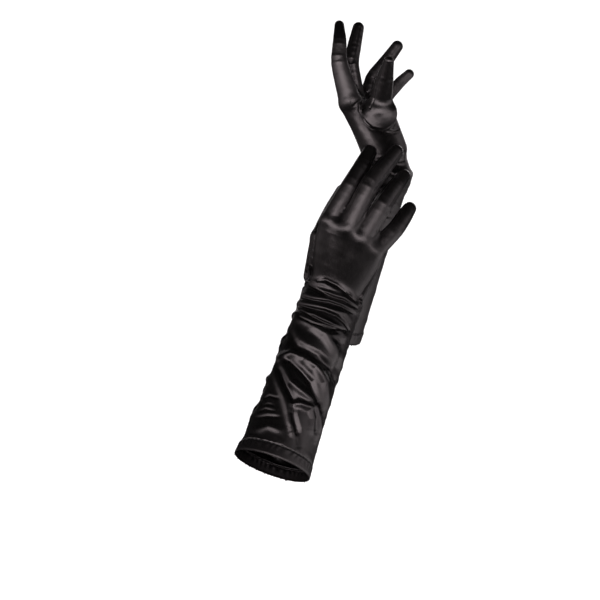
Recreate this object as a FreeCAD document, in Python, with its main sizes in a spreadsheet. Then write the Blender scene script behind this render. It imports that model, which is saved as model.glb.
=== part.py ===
import FreeCAD, Part
import math
import os

# A pair of elbow-length opera gloves in their worn pose, one hand closed round
# the other wrist.  Every glove is a thin sewn shell:
#   sleeve   back panel, palm panel, hem band, hem stitching, side seam
#   hand     back panel, palm panel, thumb gusset
#   digits   for each finger and thumb, a base length and a tip length; each is a
#            pair of faces (back and palm strip) and a pair of side strips
#            (fourchettes between the fingers)
# Millimetres.  +Z up, +Y away from the near glove's hand back, origin at the
# centre of the right cuff's rim.

doc = FreeCAD.newDocument("opera_gloves")
V = FreeCAD.Vector

# ---------------------------------------------------------------- the pattern
# Joint positions, directions and girths of the two gloves.  "rot" is a
# rotation matrix by rows; its columns are the local X, Y (hand back) and Z
# (towards the fingertips) directions.  A station is [distance along the axis,
# half breadth, half thickness].
PATTERN = {'right': {'sleeve': {'pos': [0.0, 0.0, 0.0],
                      'rot': [-0.935258, 0.145218, 0.322806, -0.023034, -0.935005, 0.353887, 0.353216, 0.32354, 0.877816],
                      'length': 186.5,
                      'stations': [[0.0, 39.5, 37.0], [12.0, 38.31, 36.1], [53.38, 35.4, 33.46], [94.75, 33.76, 31.17], [136.13, 32.67, 28.65],
                                   [177.5, 31.38, 25.37]]},
           'hand': {'pos': [60.203, 66.0, 163.713],
                    'rot': [-0.950199, -0.032496, 0.309944, -0.016147, -0.988079, -0.153099, 0.311225, -0.150479, 0.938347],
                    'length': 73.48,
                    'stations': [[5.5, 30.72, 20.07], [27.69, 34.52, 17.46], [49.89, 37.85, 15.63], [79.48, 37.12, 12.02]],
                    'knuckle_line': [62.75, -14.372]},
           'gusset': {'start': [22.68, -15.47, 19.07], 'dir': [0.1853, -0.50357, 0.84385], 'length': 38.79, 'r0': 13.5, 'r1': 10.8},
           'digits': {'index': {'base': {'pos': [57.943, 56.0, 246.422],
                                         'rot': [-0.864335, 0.043431, 0.501038, 0.003177, -0.995773, 0.091796, 0.502907, 0.080934, 0.860543],
                                         'length': 43.57,
                                         'r0': 8.8,
                                         'r1': 7.6},
                                'tip': {'pos': [79.775, 60.0, 283.92],
                                        'rot': [-0.893105, 0.122648, 0.432806, 0.038916, -0.937443, 0.345956, 0.448161, 0.325819, 0.832462],
                                        'points': [[0.0, 0.0, 0.0], [-1.062, 1.473, 24.343], [0.0, 0.0, 43.358]],
                                        'radii': [7.6, 6.9, 6.0]}},
                      'middle': {'base': {'pos': [76.918, 51.0, 238.964],
                                          'rot': [-0.898234, 0.034057, 0.438195, -0.007668, -0.998056, 0.06185, 0.43945, 0.052196, 0.896749],
                                          'length': 48.5,
                                          'r0': 8.8,
                                          'r1': 7.9},
                                 'tip': {'pos': [98.172, 54.0, 282.461],
                                         'rot': [-0.803787, 0.117474, 0.583203, 0.092808, -0.943548, 0.317969, 0.587633, 0.309705, 0.747509],
                                         'points': [[0.0, 0.0, 0.0], [0.386, 1.832, 27.339], [-0.0, -0.0, 50.319]],
                                         'radii': [7.9, 7.3, 6.4]}},
                      'ring': {'base': {'pos': [91.939, 53.0, 228.735],
                                        'rot': [-0.835515, 0.043437, 0.547748, 0.008219, -0.995771, 0.091503, 0.549406, 0.080954, 0.831625],
                                        'length': 43.71,
                                        'r0': 8.4,
                                        'r1': 7.5},
                               'tip': {'pos': [115.883, 57.0, 265.089],
                                       'rot': [-0.811008, 0.144819, 0.566827, 0.119911, -0.90716, 0.403338, 0.572614, 0.39508, 0.718349],
                                       'points': [[0.0, 0.0, 0.0], [-0.794, 2.081, 24.752], [-0.0, 0.0, 42.148]],
                                       'radii': [7.5, 6.9, 6.0]}},
                      'little': {'base': {'pos': [105.116, 59.0, 216.536],
                                          'rot': [-0.723549, 0.085661, 0.684937, 0.0848, -0.973723, 0.211359, 0.685044, 0.211011, 0.697273],
                                          'length': 33.12,
                                          'r0': 7.8,
                                          'r1': 6.8},
                                 'tip': {'pos': [127.8, 66.0, 239.629],
                                         'rot': [-0.852545, 0.161463, 0.497088, 0.103978, -0.879677, 0.464065, 0.512207, 0.447322, 0.733176],
                                         'points': [[0.0, 0.0, 0.0], [-0.099, 0.157, 17.56], [0.0, -0.0, 30.168]],
                                         'radii': [6.8, 6.1, 5.3]}},
                      'thumb': {'base': {'pos': [49.523, 94.0, 231.508],
                                         'rot': [-0.142029, -0.913285, 0.381758, 0.911832, 0.029375, 0.409511, -0.385214, 0.406261, 0.82859],
                                         'length': 34.19,
                                         'r0': 10.5,
                                         'r1': 9.6},
                                'tip': {'pos': [62.574, 108.0, 259.835],
                                        'rot': [-0.127574, -0.90164, 0.413243, 0.925634, 0.041428, 0.376145, -0.356267, 0.430498, 0.829304],
                                        'points': [[0.0, 0.0, 0.0], [0.0, 0.0, 26.585]],
                                        'radii': [9.6, 7.6]}}}},
 'left': {'sleeve': {'pos': [60.006, 159.0, 131.542],
                     'rot': [0.33563, -0.880478, 0.334829, 0.934669, 0.267033, -0.234705, 0.117242, 0.391728, 0.912581],
                     'length': 187.47,
                     'stations': [[0.0, 38.5, 36.0], [12.0, 37.99, 35.31], [52.87, 35.98, 32.64], [93.73, 33.72, 29.68], [134.6, 31.38, 26.74],
                                  [175.47, 29.12, 24.15]]},
          'hand': {'pos': [122.777, 115.0, 302.623],
                   'rot': [0.365903, -0.847623, -0.384253, 0.929433, 0.353956, 0.104257, 0.047638, -0.395285, 0.917322],
                   'length': 74.34,
                   'stations': [[5.5, 29.11, 21.16], [27.95, 33.56, 18.79], [50.4, 36.84, 15.72], [80.34, 37.01, 12.57]],
                   'knuckle_line': [64.47, 14.334]},
          'gusset': {'start': [-10.61, -17.2, 18.72], 'dir': [-0.42426, -0.18652, 0.88612], 'length': 38.48, 'r0': 15.0, 'r1': 11.1},
          'digits': {'index': {'base': {'pos': [81.273, 97.0, 374.762],
                                        'rot': [0.340115, -0.898105, -0.2788, 0.929487, 0.366062, -0.0453, 0.142743, -0.243734, 0.95928],
                                        'length': 44.15,
                                        'r0': 8.8,
                                        'r1': 8.2},
                               'tip': {'pos': [68.964, 95.0, 417.114],
                                       'rot': [0.367535, -0.929878, 0.015634, 0.924825, 0.367207, 0.099286, -0.098065, -0.022033, 0.994936],
                                       'points': [[0.0, 0.0, 0.0], [-1.092, -1.189, 24.646], [-0.0, -0.0, 40.288]],
                                       'radii': [8.2, 7.2, 5.8]}},
                     'middle': {'base': {'pos': [89.916, 115.0, 373.732],
                                         'rot': [0.370597, -0.913893, -0.1657, 0.928566, 0.368513, 0.044312, 0.020566, -0.170285, 0.98518],
                                         'length': 45.13,
                                         'r0': 8.6,
                                         'r1': 7.9},
                                'tip': {'pos': [82.437, 117.0, 418.197],
                                        'rot': [0.32849, -0.923095, 0.199973, 0.926655, 0.355945, 0.120889, -0.182772, 0.145595, 0.972315],
                                        'points': [[0.0, 0.0, 0.0], [0.003, 0.358, 23.735], [0.0, 0.0, 41.36]],
                                        'radii': [7.9, 7.2, 6.6]}},
                     'ring': {'base': {'pos': [98.686, 132.0, 370.34],
                                       'rot': [0.331029, -0.925307, 0.185008, 0.923669, 0.357845, 0.137049, -0.193016, 0.125519, 0.973134],
                                       'length': 36.48,
                                       'r0': 8.2,
                                       'r1': 7.3},
                              'tip': {'pos': [105.436, 137.0, 405.843],
                                      'rot': [0.152525, -0.773554, 0.615102, 0.955125, 0.275278, 0.109351, -0.253913, 0.570821, 0.780828],
                                      'points': [[0.0, 0.0, 0.0], [1.101, -0.397, 27.963], [-0.0, 0.0, 45.724]],
                                      'radii': [7.3, 6.8, 6.2]}},
                     'little': {'base': {'pos': [106.976, 147.0, 364.418],
                                         'rot': [0.13701, -0.827958, 0.543796, 0.926213, 0.301725, 0.226032, -0.351222, 0.472702, 0.808205],
                                         'length': 30.97,
                                         'r0': 7.4,
                                         'r1': 6.6},
                                'tip': {'pos': [123.817, 154.0, 389.448],
                                        'rot': [0.113124, -0.703967, 0.701166, 0.966039, 0.242933, 0.088046, -0.232318, 0.667393, 0.707541],
                                        'points': [[0.0, 0.0, 0.0], [0.862, 1.08, 21.639], [-0.0, 0.0, 34.073]],
                                        'radii': [6.6, 6.0, 5.4]}},
                     'thumb': {'base': {'pos': [111.6, 85.0, 363.765],
                                        'rot': [-0.704028, -0.697788, 0.132047, 0.670089, -0.714291, -0.201915, 0.235214, -0.05367, 0.970461],
                                        'length': 29.72,
                                        'r0': 10.8,
                                        'r1': 10.0},
                               'tip': {'pos': [115.524, 79.0, 392.603],
                                       'rot': [-0.722508, -0.655588, 0.219512, 0.671978, -0.740571, 0.0, 0.162564, 0.147507, 0.97561],
                                       'points': [[0.0, 0.0, 0.0], [0.0, 0.0, 21.626]],
                                       'radii': [10.0, 6.5]}}}}}

# ------------------------------------------------------------ driving sizes
sheet = doc.addObject("Spreadsheet::Sheet", "Sizes")
_row = [0]


def cell(alias, value):
    _row[0] += 1
    n = _row[0]
    sheet.set("A%d" % n, alias)
    sheet.set("B%d" % n, str(value))
    sheet.setAlias("B%d" % n, alias)


cell("wall", 0.8)            # doubled stretch satin, sewn
cell("hem_proud", 0.5)       # the turned hem stands out from the sleeve
cell("hem_wall", 1.5)        # two turns of cloth
cell("hem_width", 12.0)
cell("thread_high", 0.8)
cell("thread_proud", 0.45)
cell("seam_width", 2.4)
cell("seam_proud", 0.6)
cell("knuckle_gap", 5.0)     # free cloth each side of a bending joint
cell("tip_seam", 0.3)        # slit between back and palm faces at the fingertip
cell("strip_share", 0.62)    # half width of a face strip over the digit radius
cell("tall", 400.0)          # size of the cutting blocks
cell("slit", 0.1)            # each shell is cut lengthwise into strips this far apart

for side in ("right", "left"):
    pat = PATTERN[side]
    for part in ("sleeve", "hand"):
        for i, (z, a, b) in enumerate(pat[part]["stations"]):
            cell("%s_%s_%d_at" % (side, part, i), z)
            cell("%s_%s_%d_breadth" % (side, part, i), a)
            cell("%s_%s_%d_thick" % (side, part, i), b)
    gus = pat["gusset"]
    cell("%s_gusset_length" % side, gus["length"])
    cell("%s_gusset_root" % side, gus["r0"])
    cell("%s_gusset_end" % side, gus["r1"])
    for digit, seg in pat["digits"].items():
        key = "%s_%s" % (side, digit)
        cell(key + "_base_length", seg["base"]["length"])
        cell(key + "_base_root", seg["base"]["r0"])
        cell(key + "_base_end", seg["base"]["r1"])
        pts = seg["tip"]["points"]
        for i in range(len(pts) - 1):
            cell("%s_tip_%d_length" % (key, i),
                 round((V(*pts[i + 1]) - V(*pts[i])).Length, 3))
        for i, r in enumerate(seg["tip"]["radii"]):
            cell("%s_tip_%d_girth" % (key, i), r)
doc.recompute()


def size(alias):
    return float(getattr(sheet, alias))


NODES = []


def bind(obj, **exprs):
    for prop, expr in exprs.items():
        obj.setExpression(prop.replace("__", "."), expr)
    return obj


def placement(pos, rot):
    m = FreeCAD.Matrix(rot[0], rot[1], rot[2], pos[0],
                       rot[3], rot[4], rot[5], pos[1],
                       rot[6], rot[7], rot[8], pos[2],
                       0, 0, 0, 1)
    return FreeCAD.Placement(m)


def along(start, direction):
    """Placement with its Z along direction, standing at start."""
    return FreeCAD.Placement(V(*start), FreeCAD.Rotation(V(0, 0, 1), V(*direction)))


def boolean(kind, name, base, tool):
    o = doc.addObject(kind, name)
    o.Base = base
    o.Tool = tool
    return o


def node(obj, label, place):
    obj.Label = label
    obj.Placement = place
    NODES.append(obj)
    return obj


def cone(name, r1, r2, height, place):
    c = doc.addObject("Part::Cone", name)
    c.Placement = place
    return bind(c, Radius1=r1, Radius2=r2, Height=height)


def ball(name, r, place):
    s = doc.addObject("Part::Sphere", name)
    s.Placement = place
    return bind(s, Radius=r)


def block(name, x, y, z, dx, dy, dz):
    """Cutting block; x, y, z, dx, dy, dz are expressions."""
    b = doc.addObject("Part::Box", name)
    return bind(b, Length=dx, Width=dy, Height=dz,
                Placement__Base__x=x, Placement__Base__y=y, Placement__Base__z=z)


def girth_loft(name, keys, grow):
    """Solid through elliptical girths; grow is added to each radius."""
    rings = []
    for i, key in enumerate(keys):
        e = doc.addObject("Part::Ellipse", "%s_ring%d" % (name, i))
        bind(e, MajorRadius="Sizes.%s_breadth%s" % (key, grow),
             MinorRadius="Sizes.%s_thick%s" % (key, grow),
             Placement__Base__z="Sizes.%s_at" % key)
        rings.append(e)
    lo = doc.addObject("Part::Loft", name)
    lo.Sections = rings
    lo.Solid = True
    lo.Ruled = True
    return lo


def blades(name, angles, place):
    """Thin walls through the local Z axis, which cut a shell into strips."""
    walls = []
    for i, angle in enumerate(angles):
        b = doc.addObject("Part::Box", "%s_blade%d" % (name, i))
        turn = FreeCAD.Placement(V(0, 0, 0), FreeCAD.Rotation(V(0, 0, 1), angle))
        shift = FreeCAD.Placement(V(-size("tall") / 2, -size("slit") / 2, -size("tall") / 2),
                                  FreeCAD.Rotation())
        b.Placement = place.multiply(turn).multiply(shift)
        bind(b, Length="Sizes.tall", Width="Sizes.slit", Height="Sizes.tall")
        walls.append(b)
    f = doc.addObject("Part::MultiFuse", name + "_blades")
    f.Shapes = walls
    return f


def digit_base(side, digit, seg):
    key = "%s_%s_base" % (side, digit)
    s = "Sizes." + key
    at = along((0, 0, size("knuckle_gap")), (0, 0, 1))
    span = "%s_length-2*Sizes.knuckle_gap" % s
    outer = cone(key + "_outer", s + "_root", s + "_end", span, at)
    inner = cone(key + "_inner", s + "_root-Sizes.wall", s + "_end-Sizes.wall", span, at)
    tube = boolean("Part::Cut", key + "_tube", outer, inner)
    w = "Sizes.strip_share*%s_end" % s
    core = block(key + "_core", "-" + w, "-Sizes.tall/2", "-Sizes.tall/2",
                 "2*" + w, "Sizes.tall", "Sizes.tall")
    place = placement(seg["pos"], seg["rot"])
    faces = boolean("Part::Common", key + "_faces", tube, core)
    sides = boolean("Part::Cut", key + "_sides", tube, core)
    strips = "fourchettes" if digit != "thumb" else "sides"
    node(faces, "%s_%s_base_faces" % (side, digit), place)
    node(sides, "%s_%s_base_%s" % (side, digit, strips), place)


def digit_tip(side, digit, seg):
    key = "%s_%s_tip" % (side, digit)
    s = "Sizes." + key
    pts = [V(*p) for p in seg["points"]]
    gap = size("knuckle_gap")

    def skin(tag, less):
        pieces = []
        for i in range(len(pts) - 1):
            d = pts[i + 1] - pts[i]
            d.normalize()
            start = pts[i] + d * (gap if i == 0 else 0.0)
            height = "%s_%d_length%s" % (s, i, "-Sizes.knuckle_gap" if i == 0 else "")
            pieces.append(cone("%s_%s_cone%d" % (key, tag, i),
                               "%s_%d_girth%s" % (s, i, less),
                               "%s_%d_girth%s" % (s, i + 1, less), height,
                               along(start, d)))
            pieces.append(ball("%s_%s_ball%d" % (key, tag, i),
                               "%s_%d_girth%s+0.1" % (s, i + 1, less),
                               along(pts[i + 1], d)))
        f = doc.addObject("Part::MultiFuse", "%s_%s" % (key, tag))
        f.Shapes = pieces
        return f

    outer = skin("outer", "")
    inner = skin("inner", "-Sizes.wall")
    tube = boolean("Part::Cut", key + "_tube", outer, inner)
    last = len(pts) - 1
    w = "Sizes.strip_share*%s_%d_girth" % (s, last)
    core = block(key + "_core", "-" + w, "-Sizes.tall/2", "-Sizes.tall/2",
                 "2*" + w, "Sizes.tall", "Sizes.tall")
    slit = block(key + "_slit", "-Sizes.tall/2", "-Sizes.tip_seam/2", "-Sizes.tall/2",
                 "Sizes.tall", "Sizes.tip_seam", "Sizes.tall")
    place = placement(seg["pos"], seg["rot"])
    both = boolean("Part::Common", key + "_both", tube, core)
    faces = boolean("Part::Cut", key + "_faces", both, slit)
    sides = boolean("Part::Cut", key + "_sides", tube, core)
    strips = "fourchettes" if digit != "thumb" else "sides"
    node(faces, "%s_%s_tip_faces" % (side, digit), place)
    node(sides, "%s_%s_tip_%s" % (side, digit, strips), place)


for side in ("right", "left"):
    pat = PATTERN[side]

    # ---------------------------------------------------------------- sleeve
    sl = pat["sleeve"]
    place = placement(sl["pos"], sl["rot"])
    n = len(sl["stations"])
    keys = ["%s_sleeve_%d" % (side, i) for i in range(n)]
    outer = girth_loft(side + "_sleeve_outer", keys[1:], "")
    inner = girth_loft(side + "_sleeve_inner", keys[1:], "-Sizes.wall")
    whole = boolean("Part::Cut", side + "_sleeve_tube", outer, inner)
    tube = boolean("Part::Cut", side + "_sleeve_strips", whole,
                   blades(side + "_sleeve", (36, 72, 108, 144), FreeCAD.Placement()))
    dorsal = block(side + "_sleeve_dorsal", "-Sizes.tall/2", "0", "-Sizes.tall/2",
                   "Sizes.tall", "Sizes.tall/2", "Sizes.tall")
    node(boolean("Part::Common", side + "_sleeve_back_shape", tube, dorsal),
         side + "_sleeve_back", place)
    node(boolean("Part::Cut", side + "_sleeve_palm_shape", tube, dorsal),
         side + "_sleeve_palm", place)

    band_out = girth_loft(side + "_band_outer", keys[:2], "+Sizes.hem_proud")
    band_in = girth_loft(side + "_band_inner", keys[:2], "+Sizes.hem_proud-Sizes.hem_wall")
    band = boolean("Part::Cut", side + "_band_ring", band_out, band_in)
    node(boolean("Part::Cut", side + "_band_shape", band,
                 blades(side + "_band", (0, 36, 72, 108, 144), FreeCAD.Placement())),
         side + "_hem_band", place)

    rows_out = girth_loft(side + "_rows_outer", keys[:2],
                          "+Sizes.hem_proud+Sizes.thread_proud")
    rows_in = girth_loft(side + "_rows_inner", keys[:2], "+Sizes.hem_proud")
    rows = boolean("Part::Cut", side + "_rows", rows_out, rows_in)
    strip = block(side + "_rows_block", "-Sizes.tall/2", "-Sizes.tall/2",
                  "Sizes.hem_width-2*Sizes.thread_high", "Sizes.tall", "Sizes.tall",
                  "Sizes.thread_high")
    node(boolean("Part::Common", side + "_stitch_shape", rows, strip),
         side + "_hem_stitching", place)

    seam_out = girth_loft(side + "_seam_outer", keys[1:], "+Sizes.seam_proud")
    ridge = boolean("Part::Cut", side + "_seam_ridge", seam_out, outer)
    ulnar = "-Sizes.tall/2" if side == "right" else "0"
    strip = block(side + "_seam_block", ulnar, "-Sizes.seam_width/2",
                  "Sizes.hem_width+0.2", "Sizes.tall/2", "Sizes.seam_width", "Sizes.tall")
    node(boolean("Part::Common", side + "_seam_shape", ridge, strip),
         side + "_side_seam", place)

    # ------------------------------------------------------------------ hand
    ha = pat["hand"]
    place = placement(ha["pos"], ha["rot"])
    n = len(ha["stations"])
    keys = ["%s_hand_%d" % (side, i) for i in range(n)]
    outer = girth_loft(side + "_hand_outer", keys, "")
    inner = girth_loft(side + "_hand_inner", keys, "-Sizes.wall")
    tube = boolean("Part::Cut", side + "_hand_tube", outer, inner)
    # the hand shell ends on a slanted line behind the four knuckles
    end = doc.addObject("Part::Box", side + "_knuckle_line")
    end.Placement = FreeCAD.Placement(
        V(0, 0, ha["knuckle_line"][0]), FreeCAD.Rotation(V(0, 1, 0), ha["knuckle_line"][1])
    ).multiply(FreeCAD.Placement(V(-size("tall") / 2, -size("tall") / 2, 0), FreeCAD.Rotation()))
    bind(end, Length="Sizes.tall", Width="Sizes.tall", Height="Sizes.tall")
    short = boolean("Part::Cut", side + "_hand_short", tube, end)
    strips = boolean("Part::Cut", side + "_hand_strips", short,
                     blades(side + "_hand", (14, 32, 90, 148, 166), FreeCAD.Placement()))
    gus = pat["gusset"]
    at = along(gus["start"], gus["dir"])
    g = "Sizes.%s_gusset" % side
    g_out = cone(side + "_gusset_outer", g + "_root", g + "_end", g + "_length", at)
    g_in = cone(side + "_gusset_inner", g + "_root-Sizes.wall", g + "_end-Sizes.wall",
                g + "_length", at)
    dorsal = block(side + "_hand_dorsal", "-Sizes.tall/2", "0", "-Sizes.tall/2",
                   "Sizes.tall", "Sizes.tall/2", "Sizes.tall")
    back = boolean("Part::Common", side + "_hand_upper", strips, dorsal)
    palm = boolean("Part::Cut", side + "_hand_lower", strips, dorsal)
    node(boolean("Part::Cut", side + "_hand_back_shape", back, g_in),
         side + "_hand_back", place)
    node(boolean("Part::Cut", side + "_hand_palm_shape", palm, g_in),
         side + "_hand_palm", place)
    g_ring = boolean("Part::Cut", side + "_gusset_ring", g_out, g_in)
    g_tube = boolean("Part::Cut", side + "_gusset_tube", g_ring,
                     blades(side + "_gusset", (0, 45, 90, 135), at))
    node(boolean("Part::Cut", side + "_gusset_shape", g_tube, outer),
         side + "_thumb_gusset", place)

    # ---------------------------------------------------------------- digits
    for digit, seg in pat["digits"].items():
        digit_base(side, digit, seg["base"])
        digit_tip(side, digit, seg["tip"])

doc.recompute()

bad = [o.Name for o in doc.Objects if "Invalid" in o.State or "Error" in o.State]
if bad:
    raise RuntimeError("objects in error: %s" % ", ".join(bad))
os.makedirs("parts", exist_ok=True)
for o in NODES:
    sh = o.Shape
    if sh.isNull() or not sh.isValid() or not sh.Solids or sh.Volume <= 0:
        raise RuntimeError("bad shape: " + o.Label)
for o in NODES:
    o.Shape.exportStep("parts/%s.step" % o.Label)
    bb = o.Shape.BoundBox
    print("%-34s %d solids  %8.1f mm3   x %.1f..%.1f  y %.1f..%.1f  z %.1f..%.1f" % (
        o.Label, len(o.Shape.Solids), o.Shape.Volume,
        bb.XMin, bb.XMax, bb.YMin, bb.YMax, bb.ZMin, bb.ZMax))
print(len(NODES), "nodes")
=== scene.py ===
import math

import bpy
import numpy as np
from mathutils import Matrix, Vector
from mathutils.bvhtree import BVHTree


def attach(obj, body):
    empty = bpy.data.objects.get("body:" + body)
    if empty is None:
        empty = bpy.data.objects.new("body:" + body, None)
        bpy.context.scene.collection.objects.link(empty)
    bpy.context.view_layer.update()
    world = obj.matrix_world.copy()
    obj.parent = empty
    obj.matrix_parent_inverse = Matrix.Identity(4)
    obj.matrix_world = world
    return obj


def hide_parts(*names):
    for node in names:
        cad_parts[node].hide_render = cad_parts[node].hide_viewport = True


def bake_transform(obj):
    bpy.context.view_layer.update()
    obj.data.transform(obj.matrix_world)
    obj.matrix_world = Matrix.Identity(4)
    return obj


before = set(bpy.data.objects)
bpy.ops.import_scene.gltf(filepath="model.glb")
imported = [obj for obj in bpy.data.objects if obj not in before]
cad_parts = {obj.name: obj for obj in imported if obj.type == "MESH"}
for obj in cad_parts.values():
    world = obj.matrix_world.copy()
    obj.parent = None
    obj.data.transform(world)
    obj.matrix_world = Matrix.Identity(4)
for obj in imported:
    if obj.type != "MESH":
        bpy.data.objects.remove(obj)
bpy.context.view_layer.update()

MM = 0.001
FINGERS = ("index", "middle", "ring", "little")
DIGITS = FINGERS + ("thumb",)

# joint centres, girths and section sizes of the two gloves, in mm
GLOVES = {'right': {'cuff': [0.0, 0.0, 0.0],
           'wrist': [60.2, 66.0, 163.71],
           'row': [0.9502, 0.01615, -0.31122],
           'meta': [0.30994, -0.1531, 0.93835],
           'dorsal': [-0.0325, -0.98808, -0.15048],
           'sleeve_axes': [[-0.93526, -0.02303, 0.35322], [0.14522, -0.935, 0.32354], [0.32281, 0.35389, 0.87782]],
           'sleeve_length': 186.5,
           'hand_axes': [[-0.9502, -0.01615, 0.31122], [-0.0325, -0.98808, -0.15048], [0.30994, -0.1531, 0.93835]],
           'hand_length': 73.48,
           'flex': [-0.9502, -0.01615, 0.31122],
           'thumb_flex': [-0.14203, 0.91183, -0.38521],
           'sleeve': [(0, 39.5, 37), (0.33, 35, 33), (0.66, 33, 29.5), (1.0, 31, 24.5)],
           'hand': [(0, 30, 21), (0.3, 33.5, 18), (0.7, 38, 15.5), (1.0, 38, 13)],
           'digits': {'index': {'joints': [[57.94, 56.0, 246.42], [79.78, 60.0, 283.92], [91.44, 67.0, 304.19], [98.54, 75.0, 320.01]],
                                'girth': [8.8, 7.6, 6.9, 6.0]},
                      'middle': {'joints': [[76.92, 51.0, 238.96], [98.17, 54.0, 282.46], [114.02, 61.0, 303.69], [127.52, 70.0, 320.07]],
                                 'girth': [8.8, 7.9, 7.3, 6.4]},
                      'ring': {'joints': [[91.94, 53.0, 228.73], [115.88, 57.0, 265.09], [130.86, 65.0, 283.24], [139.77, 74.0, 295.37]],
                               'girth': [8.4, 7.5, 6.9, 6.0]},
                      'little': {'joints': [[105.12, 59.0, 216.54], [127.8, 66.0, 239.63], [136.64, 74.0, 252.52], [142.8, 80.0, 261.75]],
                                 'girth': [7.8, 6.8, 6.1, 5.3]},
                      'thumb': {'joints': [[45.06, 78.0, 190.99], [49.52, 94.0, 231.51], [62.57, 108.0, 259.84], [73.56, 118.0, 281.88]],
                                'girth': [13.5, 10.5, 9.6, 7.6]}}},
 'left': {'cuff': [60.01, 159.0, 131.54],
          'wrist': [122.78, 115.0, 302.62],
          'row': [0.3659, 0.92943, 0.04764],
          'meta': [-0.38425, 0.10426, 0.91732],
          'dorsal': [-0.84762, 0.35396, -0.39528],
          'sleeve_axes': [[0.33563, 0.93467, 0.11724], [-0.88048, 0.26703, 0.39173], [0.33483, -0.2347, 0.91258]],
          'sleeve_length': 187.47,
          'hand_axes': [[0.3659, 0.92943, 0.04764], [-0.84762, 0.35396, -0.39528], [-0.38425, 0.10426, 0.91732]],
          'hand_length': 74.34,
          'flex': [0.3659, 0.92943, 0.04764],
          'thumb_flex': [-0.70403, 0.67009, 0.23521],
          'sleeve': [(0, 38.5, 36), (0.33, 35.5, 32), (0.66, 32, 27.5), (1.0, 28.5, 23.5)],
          'hand': [(0, 28, 21.5), (0.3, 32.5, 19.5), (0.7, 37, 15.5), (1.0, 37.5, 13)],
          'digits': {'index': {'joints': [[81.27, 97.0, 374.76], [68.96, 95.0, 417.11], [70.05, 96.0, 441.77], [69.59, 99.0, 457.2]],
                               'girth': [8.8, 8.2, 7.2, 5.8]},
                     'middle': {'joints': [[89.92, 115.0, 373.73], [82.44, 117.0, 418.2], [86.85, 120.0, 441.33], [90.71, 122.0, 458.41]],
                                'girth': [8.6, 7.9, 7.2, 6.6]},
                     'ring': {'joints': [[98.69, 132.0, 370.34], [105.44, 137.0, 405.84], [123.11, 141.0, 427.17], [133.56, 142.0, 441.55]],
                              'girth': [8.2, 7.3, 6.8, 6.2]},
                     'little': {'joints': [[106.98, 147.0, 364.42], [123.82, 154.0, 389.45], [138.33, 157.0, 405.28], [147.71, 157.0, 413.56]],
                                'girth': [7.4, 6.6, 6.0, 5.4]},
                     'thumb': {'joints': [[126.28, 101.0, 326.09], [111.6, 85.0, 363.77], [115.52, 79.0, 392.6], [120.27, 79.0, 413.7]],
                               'girth': [15.0, 10.8, 10.0, 6.5]}}}}

# girths of the cloth on each digit, and small shifts of its joints, in mm
FULL = {
    "right": {"index": [10.2, 9.4, 8.8, 7.6], "middle": [10.8, 10.2, 9.4, 7.8], "ring": [10.6, 10.2, 8.8, 6.8],
              "little": [10.0, 9.0, 8.4, 7.2], "thumb": [13.5, 10.8, 9.8, 7.8]},
    "left": {"index": [12.0, 8.8, 7.2, 5.2], "middle": [9.2, 8.2, 7.4, 6.2], "ring": [8.8, 7.8, 7.2, 6.4],
             "little": [7.8, 6.8, 6.2, 5.4], "thumb": [15.5, 12.0, 10.2, 5.6]},
}
NUDGE = {
    "right": {"index": [[0, 0, 0], [0, 0, 0], [1.0, 0, 0.5], [2.2, 0, 0.5]],
              "middle": [[0, 0, 0], [0, 0, 0], [0.5, 0, 0], [0.5, 0, 0]],
              "ring": [[0, 0, 0], [-2.0, 0, 0], [-4.0, 0, 0], [-3.0, 0, 0]]},
    "left": {"thumb": [[0, 0, 0], [0, 0, 0], [0, -3.0, 0], [0, -14.0, 0]]},
}

CAM = np.array([27.97, -1600.0, 165.8])   # eye point, mm
FOCAL = 1602.0                            # in 600ths of the picture's width


# how far up the first bones the web between neighbours reaches
WEB = {"right": [0.38, 0.46, 0.40], "left": [0.50, 0.42, 0.30]}


def unit(v):
    v = np.asarray(v, float)
    return v / np.linalg.norm(v)


def smooth(e0, e1, x):
    t = np.clip((x - e0) / (e1 - e0), 0, 1)
    return t * t * (3 - 2 * t)


def smin(a, b, k):
    t = np.clip(0.5 + 0.5 * (b - a) / k, 0, 1)
    return b * (1 - t) + a * t - k * t * (1 - t)


def smax(a, b, k):
    return -smin(-a, -b, k)


class Waves:
    """Smooth noise: a sum of seeded plane waves."""

    def __init__(self, seed, scale, n=14, squash=(1, 1, 1)):
        r = np.random.default_rng(seed)
        k = r.normal(size=(n, 3))
        k /= np.linalg.norm(k, axis=1)[:, None]
        self.k = k * (2 * math.pi / scale) * r.uniform(0.6, 1.5, (n, 1)) * np.array(squash)
        self.f = r.uniform(0, 2 * math.pi, n)
        self.a = r.uniform(0.5, 1, n)
        self.a /= math.sqrt((self.a ** 2).sum() / 2)

    def __call__(self, p):
        out = np.zeros(len(p))
        for k, f, a in zip(self.k, self.f, self.a):
            out += a * np.sin(p @ k + f)
        return out


def to_picture(p):
    q = p - CAM
    return np.stack([300 + FOCAL * q[:, 0] / q[:, 1], 300 - FOCAL * q[:, 2] / q[:, 1]], 1)


def line_near(uv, pts):
    """Distance to a polyline and the share of its length at the nearest point."""
    pts = np.asarray(pts, float)
    seg = np.linalg.norm(np.diff(pts, axis=0), axis=1)
    run = np.concatenate([[0], np.cumsum(seg)])
    best = np.full(len(uv), 1e9)
    at = np.zeros(len(uv))
    for i in range(len(seg)):
        a, b = pts[i], pts[i + 1]
        ab = b - a
        t = np.clip(((uv - a) @ ab) / (ab @ ab), 0, 1)
        d = np.linalg.norm(uv - a - t[:, None] * ab, axis=1)
        w = d < best
        best[w] = d[w]
        at[w] = (run[i] + t[w] * seg[i]) / run[-1]
    return best, at


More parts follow.
